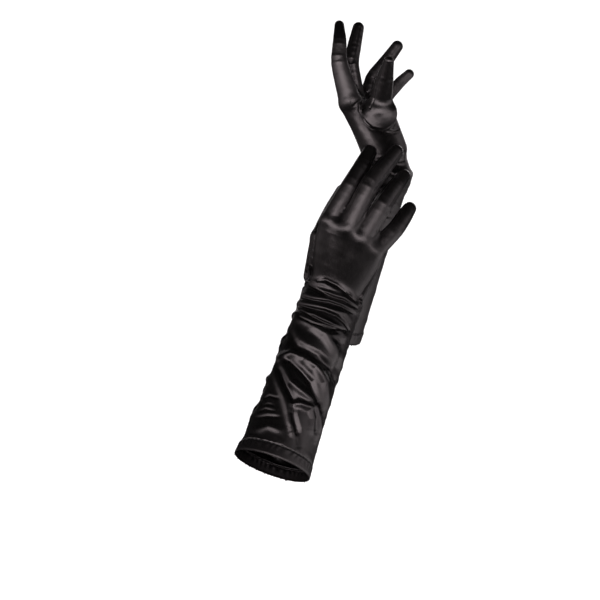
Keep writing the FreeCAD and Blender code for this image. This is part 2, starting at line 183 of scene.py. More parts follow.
# ------------------------------------------------------------------ solid form
class Glove:
    def __init__(self, side):
        self.side = side
        g = GLOVES[side]
        self.g = g
        self.cuff = np.array(g["cuff"])
        self.wrist = np.array(g["wrist"])
        self.S = np.array(g["sleeve_axes"]).T      # columns: local axes
        self.H = np.array(g["hand_axes"]).T
        self.Ls, self.Lh = g["sleeve_length"], g["hand_length"]
        self.dorsal = np.array(g["dorsal"])
        self.digits = {f: (np.array(d["joints"]) + np.array(NUDGE[side].get(f, [[0, 0, 0]] * 4)),
                           FULL[side][f]) for f, d in g["digits"].items()}
        self.zs = np.linspace(-0.1, 1.1, 121)
        self.sa = self._curve(g["sleeve"], 1)
        self.sb = self._curve(g["sleeve"], 2)
        self.ha = self._curve(g["hand"], 1)
        self.hb = self._curve(g["hand"], 2)

    def _curve(self, rows, i):
        x = np.array([r[0] for r in rows], float)
        y = np.array([r[i] for r in rows], float)
        return np.polyval(np.polyfit(x, y, 3), self.zs)

    def sleeve_local(self, p):
        return (p - self.cuff) @ self.S

    def hand_local(self, p):
        return (p - self.wrist) @ self.H

    def _oval(self, q, a, b):
        x, y = q[:, 0], q[:, 1]
        k0 = np.sqrt((x / a) ** 2 + (y / b) ** 2)
        k1 = np.sqrt((x / a ** 2) ** 2 + (y / b ** 2) ** 2)
        return np.where(k0 < 1e-3, -np.minimum(a, b), k0 * (k0 - 1) / np.maximum(k1, 1e-6))

    def cone(self, p, a, b, r0, r1):
        ab = b - a
        t = np.clip(((p - a) @ ab) / (ab @ ab), 0, 1)
        d = p - a - t[:, None] * ab
        return np.sqrt((d * d).sum(1)) - (r0 + (r1 - r0) * t)

    def digit_d(self, p, f):
        j, r = self.digits[f]
        path, girth = self.bend(j, r, 1 if f == "thumb" else 0)
        d = None
        for a, b, ra, rb in zip(path[:-1], path[1:], girth[:-1], girth[1:]):
            c = self.cone(p, a, b, ra, rb)
            d = c if d is None else smin(d, c, 0.25)
        return d

    def bend(self, j, r, k0):
        """Bones as a line with its corners rounded off."""
        path, girth = [j[k0]], [r[k0]]
        for k in range(k0 + 1, 3):
            a = j[k] + 0.24 * (j[k - 1] - j[k])
            b = j[k] + 0.24 * (j[k + 1] - j[k])
            ra, rb = r[k] + 0.24 * (r[k - 1] - r[k]), r[k] + 0.24 * (r[k + 1] - r[k])
            path += [a, 0.25 * a + 0.5 * j[k] + 0.25 * b, b]
            girth += [ra, 0.25 * ra + 0.5 * r[k] + 0.25 * rb, rb]
        return path + [j[3]], girth + [r[3]]

    def ball(self, p):
        """The round lit pad at the far thumb's root, nearly flat towards the camera."""
        j, r = self.digits["thumb"]
        if self.side != "left":
            return np.full(len(p), 1e3)
        up = unit([0.0, 0.15, 1.0])
        out = unit([0.0, 1.0, -0.15])
        q = p - (j[1] + np.array([-0.5, -8.0, -2.5]))
        e = np.stack([q[:, 0] / 19.0, q @ out / 4.8, q @ up / 18.5], 1)
        g = np.stack([q[:, 0] / 19.0 ** 2, q @ out / 4.8 ** 2, q @ up / 18.5 ** 2], 1)
        k0 = np.linalg.norm(e, axis=1)
        return np.where(k0 < 1e-3, -4.8, k0 * (k0 - 1) / np.maximum(np.linalg.norm(g, axis=1), 1e-6))

    def distance(self, p):
        q = self.sleeve_local(p)
        z = q[:, 2] / self.Ls
        sl = self._oval(q, np.interp(z, self.zs, self.sa), np.interp(z, self.zs, self.sb))
        sl = np.maximum(sl, np.maximum(q[:, 2] - (self.Ls + 5), -q[:, 2] - 7))
        q = self.hand_local(p)
        z = q[:, 2] / self.Lh
        thin = 1.2 + 3.4 * smooth(0.98, 1.25, z)
        ha = self._oval(q, np.interp(z, self.zs, self.ha) - 1.5, np.interp(z, self.zs, self.hb) - thin)
        slant = 0.26 * q[:, 0] * (1 if self.side == "right" else -1)     # the line of knuckles
        ha = np.maximum(smax(ha, q[:, 2] - (self.Lh + 9 + slant), 16.0), -q[:, 2] - 6)
        bones = None
        for f in FINGERS:
            j, r = self.digits[f]
            root = self.wrist + 0.3 * (j[0] - self.wrist)
            c = self.cone(p, root, j[0], r[0] + 1.0, r[0] + (-0.8 if self.side == "right" else 0.2))
            bones = c if bones is None else smin(bones, c, 3.0)
        d = smin(ha, bones, 4.0)
        fingers = None
        for f in FINGERS:
            c = self.digit_d(p, f)
            fingers = c if fingers is None else smin(fingers, c, 1.0)
        d = smin(d, fingers, 2.0)
        for i, (f, h) in enumerate(zip(FINGERS[:-1], FINGERS[1:])):
            (ja, ra), (jb, rb) = self.digits[f], self.digits[h]
            t = WEB[self.side][i]
            a = (ja[0] + jb[0]) / 2
            b = ((ja[0] + t * (ja[1] - ja[0])) + (jb[0] + t * (jb[1] - jb[0]))) / 2
            d = smin(d, self.cone(p, a, b, 8.6, 4.4), 3.5)
        j, r = self.digits["thumb"]
        mound = self.cone(p, j[0], j[1], r[0], r[1] + (2.5 if self.side == "left" else 0))
        d = smin(d, mound, 9.0)
        d = smin(d, self.digit_d(p, "thumb"), 2.0)
        if self.side == "left":
            a, b = self.digits["index"][0][0], self.digits["middle"][0][0]
            d = smin(d, self.cone(p, a, b, 11.6, 11.2), 3.0)      # pad at the roots of the two fingers
            palm = -self.H[:, 1]
            heel = self.cone(p, self.wrist + 7.0 * palm - 9 * self.S[:, 2],
                             self.wrist + 6.0 * palm + 10 * self.H[:, 2], 19.0, 17.0)
            d = smin(d, heel, 9.0)
            d = smin(d, self.ball(p), 5.0)
        return smin(d, sl, 10.0)


class Digit:
    """One digit's own tube, flattened where it lies against its neighbours."""

    def __init__(self, g, f):
        self.g, self.f = g, f
        k = FINGERS.index(f) if f in FINGERS else None
        self.by = [] if k is None else [FINGERS[m] for m in (k - 1, k + 1) if 0 <= m < 4]

    def distance(self, p):
        d = self.g.digit_d(p, self.f)
        for h in self.by:
            d = smax(d, (d - self.g.digit_d(p, h)) / 2 + 0.35, 1.2)
        return d


def surface(glove, low, high, step):
    """Surface net of the zero level, as vertices and outward quads."""
    n = [int(math.ceil((b - a) / step)) + 1 for a, b in zip(low, high)]
    ax = [low[i] + step * np.arange(n[i]) for i in range(3)]
    phi = np.empty(n, np.float32)
    yy, zz = np.meshgrid(ax[1], ax[2], indexing="ij")
    for i, x in enumerate(ax[0]):
        p = np.stack([np.full(yy.size, x), yy.ravel(), zz.ravel()], 1)
        phi[i] = glove.distance(p).reshape(yy.shape)
    cells = [m - 1 for m in n]
    total = np.zeros(cells + [3], np.float32)
    count = np.zeros(cells, np.int8)
    corner = [(a, b, c) for a in (0, 1) for b in (0, 1) for c in (0, 1)]

    def at(o):
        return phi[o[0]:o[0] + cells[0], o[1]:o[1] + cells[1], o[2]:o[2] + cells[2]]

    for a in corner:
        for k in range(3):
            if a[k]:
                continue
            b = list(a)
            b[k] = 1
            va, vb = at(a), at(tuple(b))
            hit = (va < 0) != (vb < 0)
            t = np.where(hit, va / np.where(hit, va - vb, 1), 0)
            for c in range(3):
                total[..., c] += np.where(hit, a[c] + (t if c == k else 0), 0)
            count += hit
    live = count > 0
    index = np.full(cells, -1, np.int64)
    index[live] = np.arange(int(live.sum()))
    where = np.argwhere(live)
    verts = (where + total[live] / count[live][:, None]) * step + np.array(low)
    quads = []
    for k in range(3):
        u, v = [(1, 2), (2, 0), (0, 1)][k]
        sl0 = [slice(None)] * 3
        sl1 = [slice(None)] * 3
        sl0[k] = slice(0, n[k] - 1)
        sl1[k] = slice(1, n[k])
        a, b = phi[tuple(sl0)] < 0, phi[tuple(sl1)] < 0
        hit = np.argwhere(a != b)
        ok = (hit[:, u] > 0) & (hit[:, v] > 0) & (hit[:, u] < n[u] - 1) & (hit[:, v] < n[v] - 1)
        hit = hit[ok]
        out = a[tuple(hit.T)]
        c = []
        for du, dv in ((-1, -1), (0, -1), (0, 0), (-1, 0)):
            h = hit.copy()
            h[:, u] += du
            h[:, v] += dv
            c.append(index[tuple(h.T)])
        q = np.stack(c, 1)
        q[~out] = q[~out][:, ::-1]
        quads.append(q)
    return verts, np.concatenate(quads)


def make_mesh(name, verts, faces):
    me = bpy.data.meshes.new(name)
    me.from_pydata([tuple(v) for v in verts], [], [tuple(f) for f in faces])
    me.update()
    return me


def numbers(me):
    v = np.empty(len(me.vertices) * 3, np.float32)
    me.vertices.foreach_get("co", v)
    nn = np.empty(len(me.vertices) * 3, np.float32)
    me.vertices.foreach_get("normal", nn)
    f = np.empty(len(me.loops), np.int32)
    me.loops.foreach_get("vertex_index", f)
    return v.reshape(-1, 3).astype(float), nn.reshape(-1, 3).astype(float), f.reshape(-1, 4)


def subdivide(verts, faces, levels):
    me = make_mesh("tmp", verts, faces)
    o = bpy.data.objects.new("tmp", me)
    bpy.context.scene.collection.objects.link(o)
    m = o.modifiers.new("s", "SUBSURF")
    m.levels = m.render_levels = levels
    m.use_limit_surface = False
    dg = bpy.context.evaluated_depsgraph_get()
    me2 = bpy.data.meshes.new_from_object(o.evaluated_get(dg))
    out = numbers(me2)
    bpy.data.objects.remove(o)
    bpy.data.meshes.remove(me)
    bpy.data.meshes.remove(me2)
    return out


def vertex_normals(verts, faces):
    a = verts[faces[:, 2]] - verts[faces[:, 0]]
    b = verts[faces[:, 3]] - verts[faces[:, 1]]
    fn = np.cross(a, b)
    out = np.zeros_like(verts)
    for k in range(4):
        for c in range(3):
            out[:, c] += np.bincount(faces[:, k], fn[:, c], len(verts))
    return out / np.maximum(np.linalg.norm(out, axis=1), 1e-12)[:, None]


def neighbours_mean(verts, faces):
    total = np.zeros_like(verts)
    count = np.zeros(len(verts))
    for k in range(4):
        for m in ((k + 1) % 4, (k + 3) % 4):
            for c in range(3):
                total[:, c] += np.bincount(faces[:, k], verts[faces[:, m], c], len(verts))
            count += np.bincount(faces[:, k], minlength=len(verts))
    return total / np.maximum(count, 1)[:, None]


# ------------------------------------------------------------------ the folds
# Ridge and hollow lines of the near sleeve, in 600ths of the picture.
# (points, height in mm, half width)
FOLDS = [
    # gathers at the wrist: soft ridges with sharp valleys between them
    ([(309, 281), (324, 283), (340, 291), (357, 305)], 1.5, 3.4),
    ([(307, 289), (330, 292), (345, 298), (358, 306)], 1.3, 3.0),
    ([(300, 294), (322, 297), (347, 306), (354, 311)], 1.6, 3.0),
    ([(297, 301), (320, 306), (345, 314), (350, 320)], 1.6, 3.0),
    ([(297, 313), (315, 315), (335, 326), (345, 336)], 1.6, 3.0),
    ([(316, 280), (325, 279), (337, 284), (349, 292), (357, 302)], -1.5, 1.15),
    ([(307, 284), (315, 288), (331, 295), (345, 300), (357, 308)], -1.5, 1.15),
    ([(306, 287), (319, 292), (337, 298), (347, 303)], -0.9, 1.0),
    ([(304, 298), (313, 300), (329, 302), (341, 306), (353, 313)], -1.6, 1.2),
    ([(298, 305), (311, 308), (325, 311), (337, 316), (345, 323), (349, 330)], -1.6, 1.2),
    ([(297, 309), (309, 315), (321, 321), (333, 326), (345, 330)], -1.5, 1.15),
    ([(301, 318), (313, 324), (329, 328), (343, 330)], -1.5, 1.15),
    # the slack folds of the forearm
    ([(298, 318), (309, 322), (325, 334), (333, 346), (339, 356), (343, 362)], 3.2, 5.2),
    ([(327, 333), (344, 338)], 1.4, 3.6),
    ([(287, 328), (292, 340), (302, 352), (318, 361), (334, 368)], -3.0, 5.0),
    ([(279, 358), (291, 353), (305, 356), (317, 366), (325, 382), (327, 398), (327, 412)], 3.6, 4.0),
    ([(301, 345), (318, 354), (331, 368), (337, 386), (337, 404)], -1.6, 3.0),
    ([(281, 361), (287, 371), (291, 382), (301, 391), (311, 399), (314, 406)], 3.0, 4.2),
    ([(289, 361), (301, 371), (311, 382), (315, 394), (318, 402)], -3.0, 3.4),
    ([(275, 366), (279, 382), (285, 398), (289, 414), (293, 432)], 2.8, 4.4),
    ([(279, 371), (286, 386), (293, 400), (293, 412), (297, 432)], -2.2, 3.2),
    ([(292, 403), (301, 404), (311, 408), (314, 418), (312, 430)], 2.6, 3.6),
    ([(316, 406), (319, 418), (320, 430), (318, 442)], 2.6, 2.8),
    ([(313, 407), (316, 418), (316, 432)], -1.6, 2.2),
    ([(326, 412), (326, 428), (322, 446)], -1.5, 3.2),
    ([(262, 399), (269, 396), (278, 398)], -0.7, 1.6),
    ([(263, 405), (268, 404), (273, 405)], -0.5, 1.4),
    ([(258, 412), (265, 409), (274, 411)], -0.7, 1.5),
    ([(256, 418), (267, 416), (278, 417)], -1.1, 2.0),
    ([(255, 430), (268, 426), (281, 430)], 1.2, 3.6),
    ([(292, 414), (298, 430), (299, 446)], -1.6, 3.2),
    ([(341, 345), (339, 362), (336, 380)], -1.8, 3.0),
]
KNUCKLES = [(320, 218), (338, 228), (348, 233), (359, 240), (368, 247), (377, 256)]


# sewn ring round the far thumb's root, and the crease beside it
GUSSET_SEAM = [(364, 98), (359.5, 104), (359.3, 111), (365.5, 122), (372, 128), (384, 131), (393, 131.4), (401, 128.2)]
THUMB_CREASE = [(353.6, 106), (362, 98.5), (370, 90.5)]


EASE = {"right": KNUCKLES, "left": [(338, 102), (352, 103), (361, 104)]}


def ridge(d, w):
    return np.exp(-(d / w) ** 2)


def sleeve_folds(glove, p, nrm):
    """Outward movement of each sleeve vertex, mm."""
    q = glove.sleeve_local(p)
    z = q[:, 2]
    theta = np.arctan2(q[:, 1] / 30.0, q[:, 0] / 33.0)
    L = glove.Ls
    seed = 11 if glove.side == "right" else 31
    n1 = Waves(seed, 46)(p)
    n2 = Waves(seed + 1, 22)(p)
    n3 = Waves(seed + 2, 11)(p)
    hand_z = glove.hand_local(p)[:, 2]
    on = smooth(8, 26, z) * (1 - smooth(-2, 16, hand_z))
    # gathers at the wrist: close rounded rings, warped and broken
    gather = smooth(0.66 * L, 0.82 * L, z) * (1 - smooth(2, 18, hand_z))
    spin = 1.0 if glove.side == "right" else -1.0
    ph = z / 9.5 * 2 * math.pi + 1.4 * n1 + 0.5 * n2 + 1.9 * spin * np.cos(theta + 0.6)
    rings = (0.5 + 0.5 * np.cos(ph)) ** 1.3
    ph2 = z / 15.0 * 2 * math.pi - 1.6 * n1 + 0.8 * n2 - 2.2 * np.sin(theta - 0.9)
    rings2 = (0.5 + 0.5 * np.cos(ph2)) ** 1.6
    amp = np.clip(0.7 + 0.3 * n2, 0.2, 1.2)
    out = gather * (1.5 * (rings - 0.45) * amp + 1.2 * (rings2 - 0.4))
    # long slanting folds of the slack sleeve
    turn = theta * (1.6 if glove.side == "right" else -1.6)
    ph3 = z / 41.0 * 2 * math.pi + turn + 1.1 * n1
    long = (0.5 + 0.5 * np.cos(ph3)) ** 2.2
    ph4 = z / 27.0 * 2 * math.pi - 1.3 * turn - 1.3 * n1 + 0.5 * n2
    long2 = (0.5 + 0.5 * np.cos(ph4)) ** 2.6
    body = on * (1 - 0.8 * gather)
    slack = body * (2.8 * (long - 0.30) + 1.6 * (long2 - 0.26) * np.clip(0.6 + 0.5 * n2, 0, 1.3) + 0.15 * n3)
    # the side towards +X hangs nearly smooth
    calm = 1 - (0.55 if glove.side == "right" else 0.80) * smooth(0.05, 0.75, nrm[:, 0])
    return out * calm, slack * calm, on, gather


def displace(glove, p, nrm):
    out, slack, on, gather = sleeve_folds(glove, p, nrm)
    uv = to_picture(p)
    view = unit_rows(CAM - p)
    front = smooth(0.0, 0.35, (nrm * view).sum(1))
    # the lines are seen on the near side of the near sleeve only
    if glove.side == "right":
        q = glove.sleeve_local(p)
        near = front * smooth(8, 22, q[:, 2]) * (1 - smooth(14, 34, glove.hand_local(p)[:, 2]))
        drawn = np.zeros(len(p))
        for pts, h, w in FOLDS:
            d, t = line_near(uv, pts)
            drawn += h * ridge(d, w) * (0.35 + 0.65 * np.sin(np.pi * np.clip(t, 0.02, 0.98)) ** 0.6)
        out = out * (1 - 0.90 * near) + slack * (1 - 0.93 * near) + near * drawn
        hz = glove.hand_local(p)[:, 2]
        on_hand = front * smooth(18, 30, hz)
        d, t = line_near(uv, KNUCKLES)
        out += on_hand * 0.7 * ridge(d, 6.5)
        lean = smooth(0, 16, hz) * np.clip((glove.Lh - 4 - hz) / (glove.Lh - 20), 0, 1)
        out -= front * 4.2 * lean
    else:
        out = out + slack
        hz = glove.hand_local(p)[:, 2]
        on_hand = smooth(0.15, 0.45, (nrm * view).sum(1)) * smooth(6, 16, hz)
        d, t = line_near(uv, GUSSET_SEAM)
        out += on_hand * (0.22 * ridge(d - 2.0, 1.2) - 0.75 * ridge(d, 0.85))
        d, t = line_near(uv, THUMB_CREASE)
        out -= on_hand * 0.6 * ridge(d, 1.1) * np.sin(np.pi * np.clip(0.15 + 0.8 * t, 0, 1))
    return out


def unit_rows(v):
    return v / np.maximum(np.linalg.norm(v, axis=1), 1e-12)[:, None]


def digit_frame(glove, f, k):
    """Start, along, across (hinge side) and back directions of bone k."""
    j, r = glove.digits[f]
    a, b = j[k], j[k + 1]
    zz = unit(b - a)
    ax = np.array(glove.g["thumb_flex" if f == "thumb" else "flex"])
    xx = unit(ax - (ax @ zz) * zz)
    yy = np.cross(zz, xx)
    return a, zz, xx, yy, float(np.linalg.norm(b - a))


def belong(glove, p):
    """Nearest digit of each point, and how far the point lies from that digit's surface."""
    names = list(DIGITS)
    dist = np.stack([glove.digit_d(p, f) for f in names], 1)
    return dist.argmin(1), dist.min(1)


def side_share(glove, f, p):
    """Signed sideways and back offsets over the radius, and the run along the digit, from each point's nearest bone.
    """
    j, r = glove.digits[f]
    k0 = 1 if f == "thumb" else 0
    best = np.full(len(p), 1e9)
    x = np.zeros(len(p))
    y = np.zeros(len(p))
    s = np.zeros(len(p))
    run = 0.0
    for k in range(k0, 3):
        a, zz, xx, yy, L = digit_frame(glove, f, k)
        q = p - a
        t = q @ zz
        lo = -1e9 if k == k0 else 0
        tc = np.clip(t, max(lo, -30), L + (30 if k == 2 else 0))
        d = np.linalg.norm(q - np.clip(t, 0, L)[:, None] * zz, axis=1)
        w = d < best
        rad = r[k] + (r[k + 1] - r[k]) * np.clip(t / L, 0, 1)
        best[w] = d[w]
        x[w] = (q @ xx)[w] / rad[w]
        y[w] = (q @ yy)[w] / rad[w]
        s[w] = (run + tc)[w]
        run += L
    return x, y, s


def add_object(name, verts, faces, normals=None, material=None, across=None):
    me = make_mesh(name, np.asarray(verts) * MM, faces)
    if across is not None:
        at = me.attributes.new("across", "FLOAT_VECTOR", "POINT")
        at.data.foreach_set("vector", np.asarray(across, np.float32).ravel())
    me.polygons.foreach_set("use_smooth", np.ones(len(me.polygons), bool))
    if normals is not None:
        me.normals_split_custom_set_from_vertices([tuple(n) for n in normals])
    if material:
        me.materials.append(material)
    me.update()
    o = bpy.data.objects.new(name, me)
    bpy.context.scene.collection.objects.link(o)
    return o


def tube(path, radius, sides=6, closed=False, ups=None):
    """Vertices and quads of a round thread along a path."""
    path = np.asarray(path, float)
    n = len(path)
    if closed:
        tan = np.roll(path, -1, 0) - np.roll(path, 1, 0)
    else:
        tan = np.gradient(path, axis=0)
    tan = unit_rows(tan)
    ref = ups if ups is not None else np.tile(unit([0.3, 0.5, 0.8]), (n, 1))
    b = unit_rows(np.cross(tan, ref))
    c = np.cross(b, tan)
    ang = np.linspace(0, 2 * math.pi, sides, endpoint=False)
    rad = np.full(n, radius) if np.isscalar(radius) else np.asarray(radius)
    v = path[:, None] + rad[:, None, None] * (np.cos(ang)[None, :, None] * b[:, None]
                                              + np.sin(ang)[None, :, None] * c[:, None])
    v = v.reshape(-1, 3)
    f = []
    rows = n if closed else n - 1
    for i in range(rows):
        i2 = (i + 1) % n
        for k in range(sides):
            k2 = (k + 1) % sides
            f.append((i * sides + k, i2 * sides + k, i2 * sides + k2, i * sides + k2))
    return v, f


def merge(parts):
    vs, fs, n = [], [], 0
    for v, f in parts:
        vs.append(np.asarray(v))
        fs += [tuple(i + n for i in q) for q in f]
        n += len(v)
    return np.concatenate(vs), fs


# ------------------------------------------------------------------ materials
def satin(name, dark, rough, bright):
    m = bpy.data.materials.new(name)
    m.use_nodes = True
    nt = m.node_tree
    b = nt.nodes["Principled BSDF"]
    co = nt.nodes.new("ShaderNodeTexCoord")
    big = nt.nodes.new("ShaderNodeTexNoise")
    big.inputs["Scale"].default_value = 45.0
    big.inputs["Detail"].default_value = 2.0
    nt.links.new(co.outputs["Object"], big.inputs["Vector"])
    # threads: long floats of the satin weave, much finer across than along
    lay = nt.nodes.new("ShaderNodeMapping")
    lay.inputs["Rotation"].default_value = (0.35, -0.35, 0.0)
    lay.inputs["Scale"].default_value = (2.6, 2.6, 0.55)
    nt.links.new(co.outputs["Object"], lay.inputs["Vector"])
    weave = nt.nodes.new("ShaderNodeTexNoise")
    weave.inputs["Scale"].default_value = 1500.0
    weave.inputs["Detail"].default_value = 1.5
    nt.links.new(lay.outputs["Vector"], weave.inputs["Vector"])
    ramp = nt.nodes.new("ShaderNodeMix")
    ramp.data_type = "RGBA"
    ramp.inputs["A"].default_value = (*[c * 0.7 for c in dark], 1)
    ramp.inputs["B"].default_value = (*[c * 1.35 for c in dark], 1)
    nt.links.new(weave.outputs["Fac"], ramp.inputs["Factor"])
    nt.links.new(ramp.outputs["Result"], b.inputs["Base Color"])
    rr = nt.nodes.new("ShaderNodeMapRange")
    rr.inputs["From Min"].default_value = 0.3
    rr.inputs["From Max"].default_value = 0.7
    rr.inputs["To Min"].default_value = rough - 0.025
    rr.inputs["To Max"].default_value = rough + 0.035
    nt.links.new(big.outputs["Fac"], rr.inputs["Value"])
    nt.links.new(rr.outputs["Result"], b.inputs["Roughness"])
    pucker = nt.nodes.new("ShaderNodeTexNoise")
    pucker.inputs["Scale"].default_value = 260.0
    pucker.inputs["Detail"].default_value = 1.0
    nt.links.new(co.outputs["Object"], pucker.inputs["Vector"])
    b1 = nt.nodes.new("ShaderNodeBump")
    b1.inputs["Strength"].default_value = 0.16
    b1.inputs["Distance"].default_value = 0.0002
    nt.links.new(weave.outputs["Fac"], b1.inputs["Height"])
    b2 = nt.nodes.new("ShaderNodeBump")
    b2.inputs["Strength"].default_value = 0.045
    b2.inputs["Distance"].default_value = 0.0006
    nt.links.new(pucker.outputs["Fac"], b2.inputs["Height"])
    nt.links.new(b1.outputs["Normal"], b2.inputs["Normal"])
    nt.links.new(b2.outputs["Normal"], b.inputs["Normal"])
    lie = nt.nodes.new("ShaderNodeAttribute")
    lie.attribute_name = "across"
    nt.links.new(lie.outputs["Vector"], b.inputs["Tangent"])
    b.inputs["Anisotropic"].default_value = 0.94
    b.inputs["IOR"].default_value = 1.5
    b.inputs["Specular IOR Level"].default_value = bright
    b.inputs["Specular Tint"].default_value = (1.0, 0.93, 0.94, 1)
    b.inputs["Sheen Weight"].default_value = 0.004
    b.inputs["Sheen Roughness"].default_value = 0.4
    return m


def thread(name, dark):
    m = bpy.data.materials.new(name)
    m.use_nodes = True
    b = m.node_tree.nodes["Principled BSDF"]
    b.inputs["Base Color"].default_value = (*dark, 1)
    b.inputs["Roughness"].default_value = 0.55
    b.inputs["Sheen Weight"].default_value = 0.04
    return m


SATIN = satin("black_satin", (0.0012, 0.0010, 0.0010), 0.345, 0.95)
HEM = satin("hem_satin", (0.0018, 0.0014, 0.0015), 0.38, 0.90)
THREAD = thread("stitch_thread", (0.006, 0.006, 0.0065))


# ------------------------------------------------------------------ build
def settle(form, v, f, rounds=2):
    for _ in range(rounds):
        v = v + 0.5 * (neighbours_mean(v, f) - v)
        d = form.distance(v)
        v = v - 0.7 * d[:, None] * vertex_normals(v, f)
    return v


def trim(v, f, keep):
    f = f[keep]
    used = np.unique(f)
    back = np.full(len(v), -1)
    back[used] = np.arange(len(used))
    return v[used], back[f]


def build(side):
    g = Glove(side)
    pts = np.concatenate([j for j, r in g.digits.values()] + [g.cuff[None], g.wrist[None]])
    low = pts.min(0) - 16
    high = pts.max(0) + 14
    low = np.minimum(low, g.cuff - 44)
    high = np.maximum(high, g.cuff + 44)
    low = np.minimum(low, g.wrist - 36)
    high = np.maximum(high, g.wrist + 36)
    v, f = surface(g, low, high, 1.3)
    v = settle(g, v, f)
    # ease the cloth where the fingers' roots meet the hand
    view = unit_rows(CAM - v)
    soft = smooth(0.0, 0.3, (vertex_normals(v, f) * view).sum(1)) * smooth(30, 45, g.hand_local(v)[:, 2])
    d, _ = line_near(to_picture(v), EASE[side])
    soft = soft * ridge(d, 9.0)
    for _ in range(16):
        v = v + 0.8 * soft[:, None] * (neighbours_mean(v, f) - v)
    # open the cuff
    v, f = trim(v, f, (g.sleeve_local(v)[:, 2][f] > 0).any(1))
    zc = g.sleeve_local(v)[:, 2]
    v = v - np.minimum(zc, 0)[:, None] * g.S[:, 2]
    # the digits go on as tubes of their own past the webs
    who, away = belong(g, v[f].mean(1))
    gone = np.zeros(len(f), bool)
    for i, d in enumerate(DIGITS):
        c, way = cut_plane(g, d)
        gone |= (who == i) & (away < 6.0) & ((v[f].mean(1) - c) @ way > 0) & (g.ball(v[f].mean(1)) > 1.5)
    v, f = trim(v, f, ~gone)
    v, n, f = subdivide(v, f, 1)
    n = vertex_normals(v, f)
    v = v + displace(g, v, n)[:, None] * n
    who, away = belong(g, v)
    n = vertex_normals(v, f)
    v = v + finger_detail(g, v, who, away, n)[:, None] * n
    v = v + hem_detail(g, v)[:, None] * unit_rows(outward(g, v))
    tubes = {}
    for i, d in enumerate(DIGITS):
        form = Digit(g, d)
        j, r = g.digits[d]
        c, way = cut_plane(g, d)
        ends = j[1:] if d == "thumb" else j
        tv, tf = surface(form, ends.min(0) - 14, ends.max(0) + 14, 1.1)
        tv = settle(form, tv, tf)
        tv, tf = trim(tv, tf, ((tv[tf].mean(1) - c) @ way) > -9.0)
        tv, n, tf = subdivide(tv, tf, 1)
        n = vertex_normals(tv, tf)
        tv = tv + displace(g, tv, n)[:, None] * n
        n = vertex_normals(tv, tf)
        full = np.full(len(tv), i)
        tv = tv + finger_detail(g, tv, full, np.zeros(len(tv)), n)[:, None] * n
        under = smooth(0.8, 5.0, -((tv - c) @ way))
        tv = tv - 0.5 * under[:, None] * n
        tubes[d] = (tv, tf)
    return g, v, f, tubes


def cut_plane(g, f):
    """Where a digit leaves the hand's shell and goes on as its own tube."""
    j, r = g.digits[f]
    a, b = (j[1], j[2]) if f == "thumb" else (j[0], j[1])
    return a + 0.5 * (b - a), unit(b - a)


def lie_of(g, p, n, digit=None):
    """Direction round the limb, square to the satin's lengthwise threads."""
    w = smooth(-20, 20, g.hand_local(p)[:, 2])[:, None]
    d = (1 - w) * g.S[:, 2] + w * g.H[:, 2]
    who, away = belong(g, p)
    for i, f in enumerate(DIGITS):
        j, r = g.digits[f]
        k0 = 1 if f == "thumb" else 0
        near = (who == i) & (away < 6.0) if digit is None else np.full(len(p), f == digit)
        if not near.any():
            continue
        for k in range(k0, 3):
            way = unit(j[k + 1] - j[k])
            w = (smooth(-7, 7, (p - j[k]) @ way) * near)[:, None]
            d = (1 - w) * d + w * way
    return unit_rows(np.cross(d, n))


def outward(g, p):
    q = g.sleeve_local(p).copy()
    q[:, 2] = 0
    return q @ g.S.T + 1e-9


def hem_detail(g, p):
    q = g.sleeve_local(p)
    z = q[:, 2]
    theta = np.arctan2(q[:, 1], q[:, 0])
    band = (1 - smooth(11.2, 13.2, z))
    groove = -0.55 * ridge(z - 12.6, 0.9)
    pucker = 0.28 * np.sin(theta * 37 + 1.4 * Waves(5, 30)(p)) * ridge(z - 10.5, 3.2)
    rim = -0.35 * ridge(z - 0.0, 1.2)
    return (0.75 * band + groove + pucker + rim) * (z < 40)


def finger_detail(g, p, who, away, n):
    out = np.zeros(len(p))
    seed = 71 if g.side == "right" else 91
    fine = Waves(seed, 7.0)(p)
    mid = Waves(seed + 3, 15.0)(p)
    hz = g.hand_local(p)[:, 2]
    out += (0.015 * fine + 0.03 * mid) * smooth(10, 30, hz)
    for i, f in enumerate(DIGITS):
        w = (who == i) & (away < 4.0)
        if not w.any():
            continue
        x, y, s = side_share(g, f, p[w])
        j, r = g.digits[f]
        k0 = 1 if f == "thumb" else 0
        lens = [float(np.linalg.norm(j[k + 1] - j[k])) for k in range(k0, 3)]
        knots = np.cumsum(lens)[:-1]
        total = sum(lens)
        # seams each side of the back and palm strips
        share = STRIP if f != "thumb" else 0.05
        start = 14 if f != "thumb" else 2
        d = np.abs(np.abs(x) - share) * r[-2] if f != "thumb" else np.abs(x) * r[-2]
        on = smooth(start - 3, start + 3, s) * (1 - smooth(total - 1, total + 3, s) * 0.3)
        # the outer edges of the hand have no strip between fingers
        outer = (1 if g.side == "right" else -1) * (1 if f == "index" else -1)
        if f in ("index", "little"):
            on = on * (x * outer < 0)
        groove = -0.50 * ridge(d, 0.7) + 0.10 * ridge(d - 1.6, 0.8)
        if f == "thumb" and g.side == "left":
            groove = groove * (y > 0)
        val = on * groove
        # creases at the bending joints
        for k in knots:
            c = np.zeros(len(x))
            for off, h in ((-3.2, 0.30), (0.4, 0.45), (3.6, 0.28)):
                c += -h * ridge(s - k - off - 0.6 * x * x, 0.8)
            val += 0.05 * c * (0.3 + 0.7 * (y < 0.2)) * np.exp(-(x / 0.9) ** 4)
        # loose tip
        val += 0.02 * np.sin(s * 0.9 + 3 * x) * smooth(total - 12, total - 2, s) * (away[w] > -9)
        out[w] += val
    return out


STRIP = 0.84          # half width of a finger's face strip over its radius


